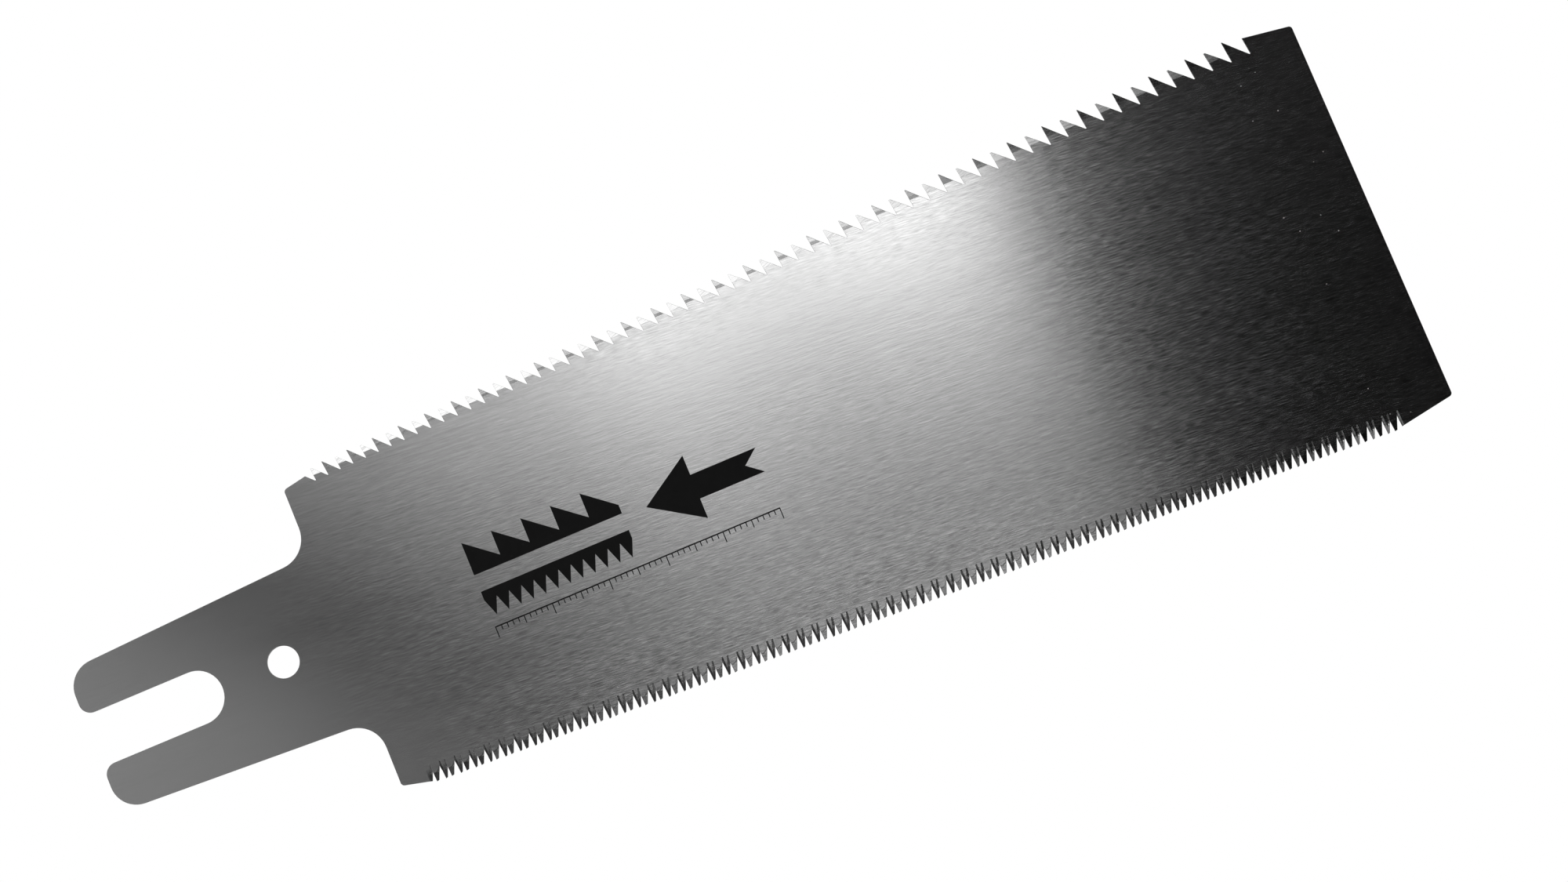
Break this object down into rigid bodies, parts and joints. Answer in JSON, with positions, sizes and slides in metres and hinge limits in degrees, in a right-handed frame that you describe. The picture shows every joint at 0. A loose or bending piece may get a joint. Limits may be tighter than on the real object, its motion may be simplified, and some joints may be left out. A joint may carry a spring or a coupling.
{
  "type": "pull saw blade",
  "caption": "Double-edged pull saw blade with raked rip teeth on one edge, fine crosscut teeth on the other and a slotted tang for a handle.",
  "frame": {"origin": "centre of the tang's hole, on the sheet's middle plane", "axes": "+X along the blade from the tang to the toe, +Z across it from the crosscut edge to the rip edge, +Y out of the unprinted face"},
  "size_m": [0.224, 0.0008, 0.0691],
  "materials": {
    "brushed_blade_steel": "brushed along the blade",
    "black_print": "matte ink"
  },
  "bodies": {
    "root": {"blade": "brushed_blade_steel", "printed_rip_symbol": "black_print", "printed_crosscut_symbol": "black_print", "printed_pull_arrow": "black_print", "printed_scale": "black_print"}
  },
  "joints": []
}
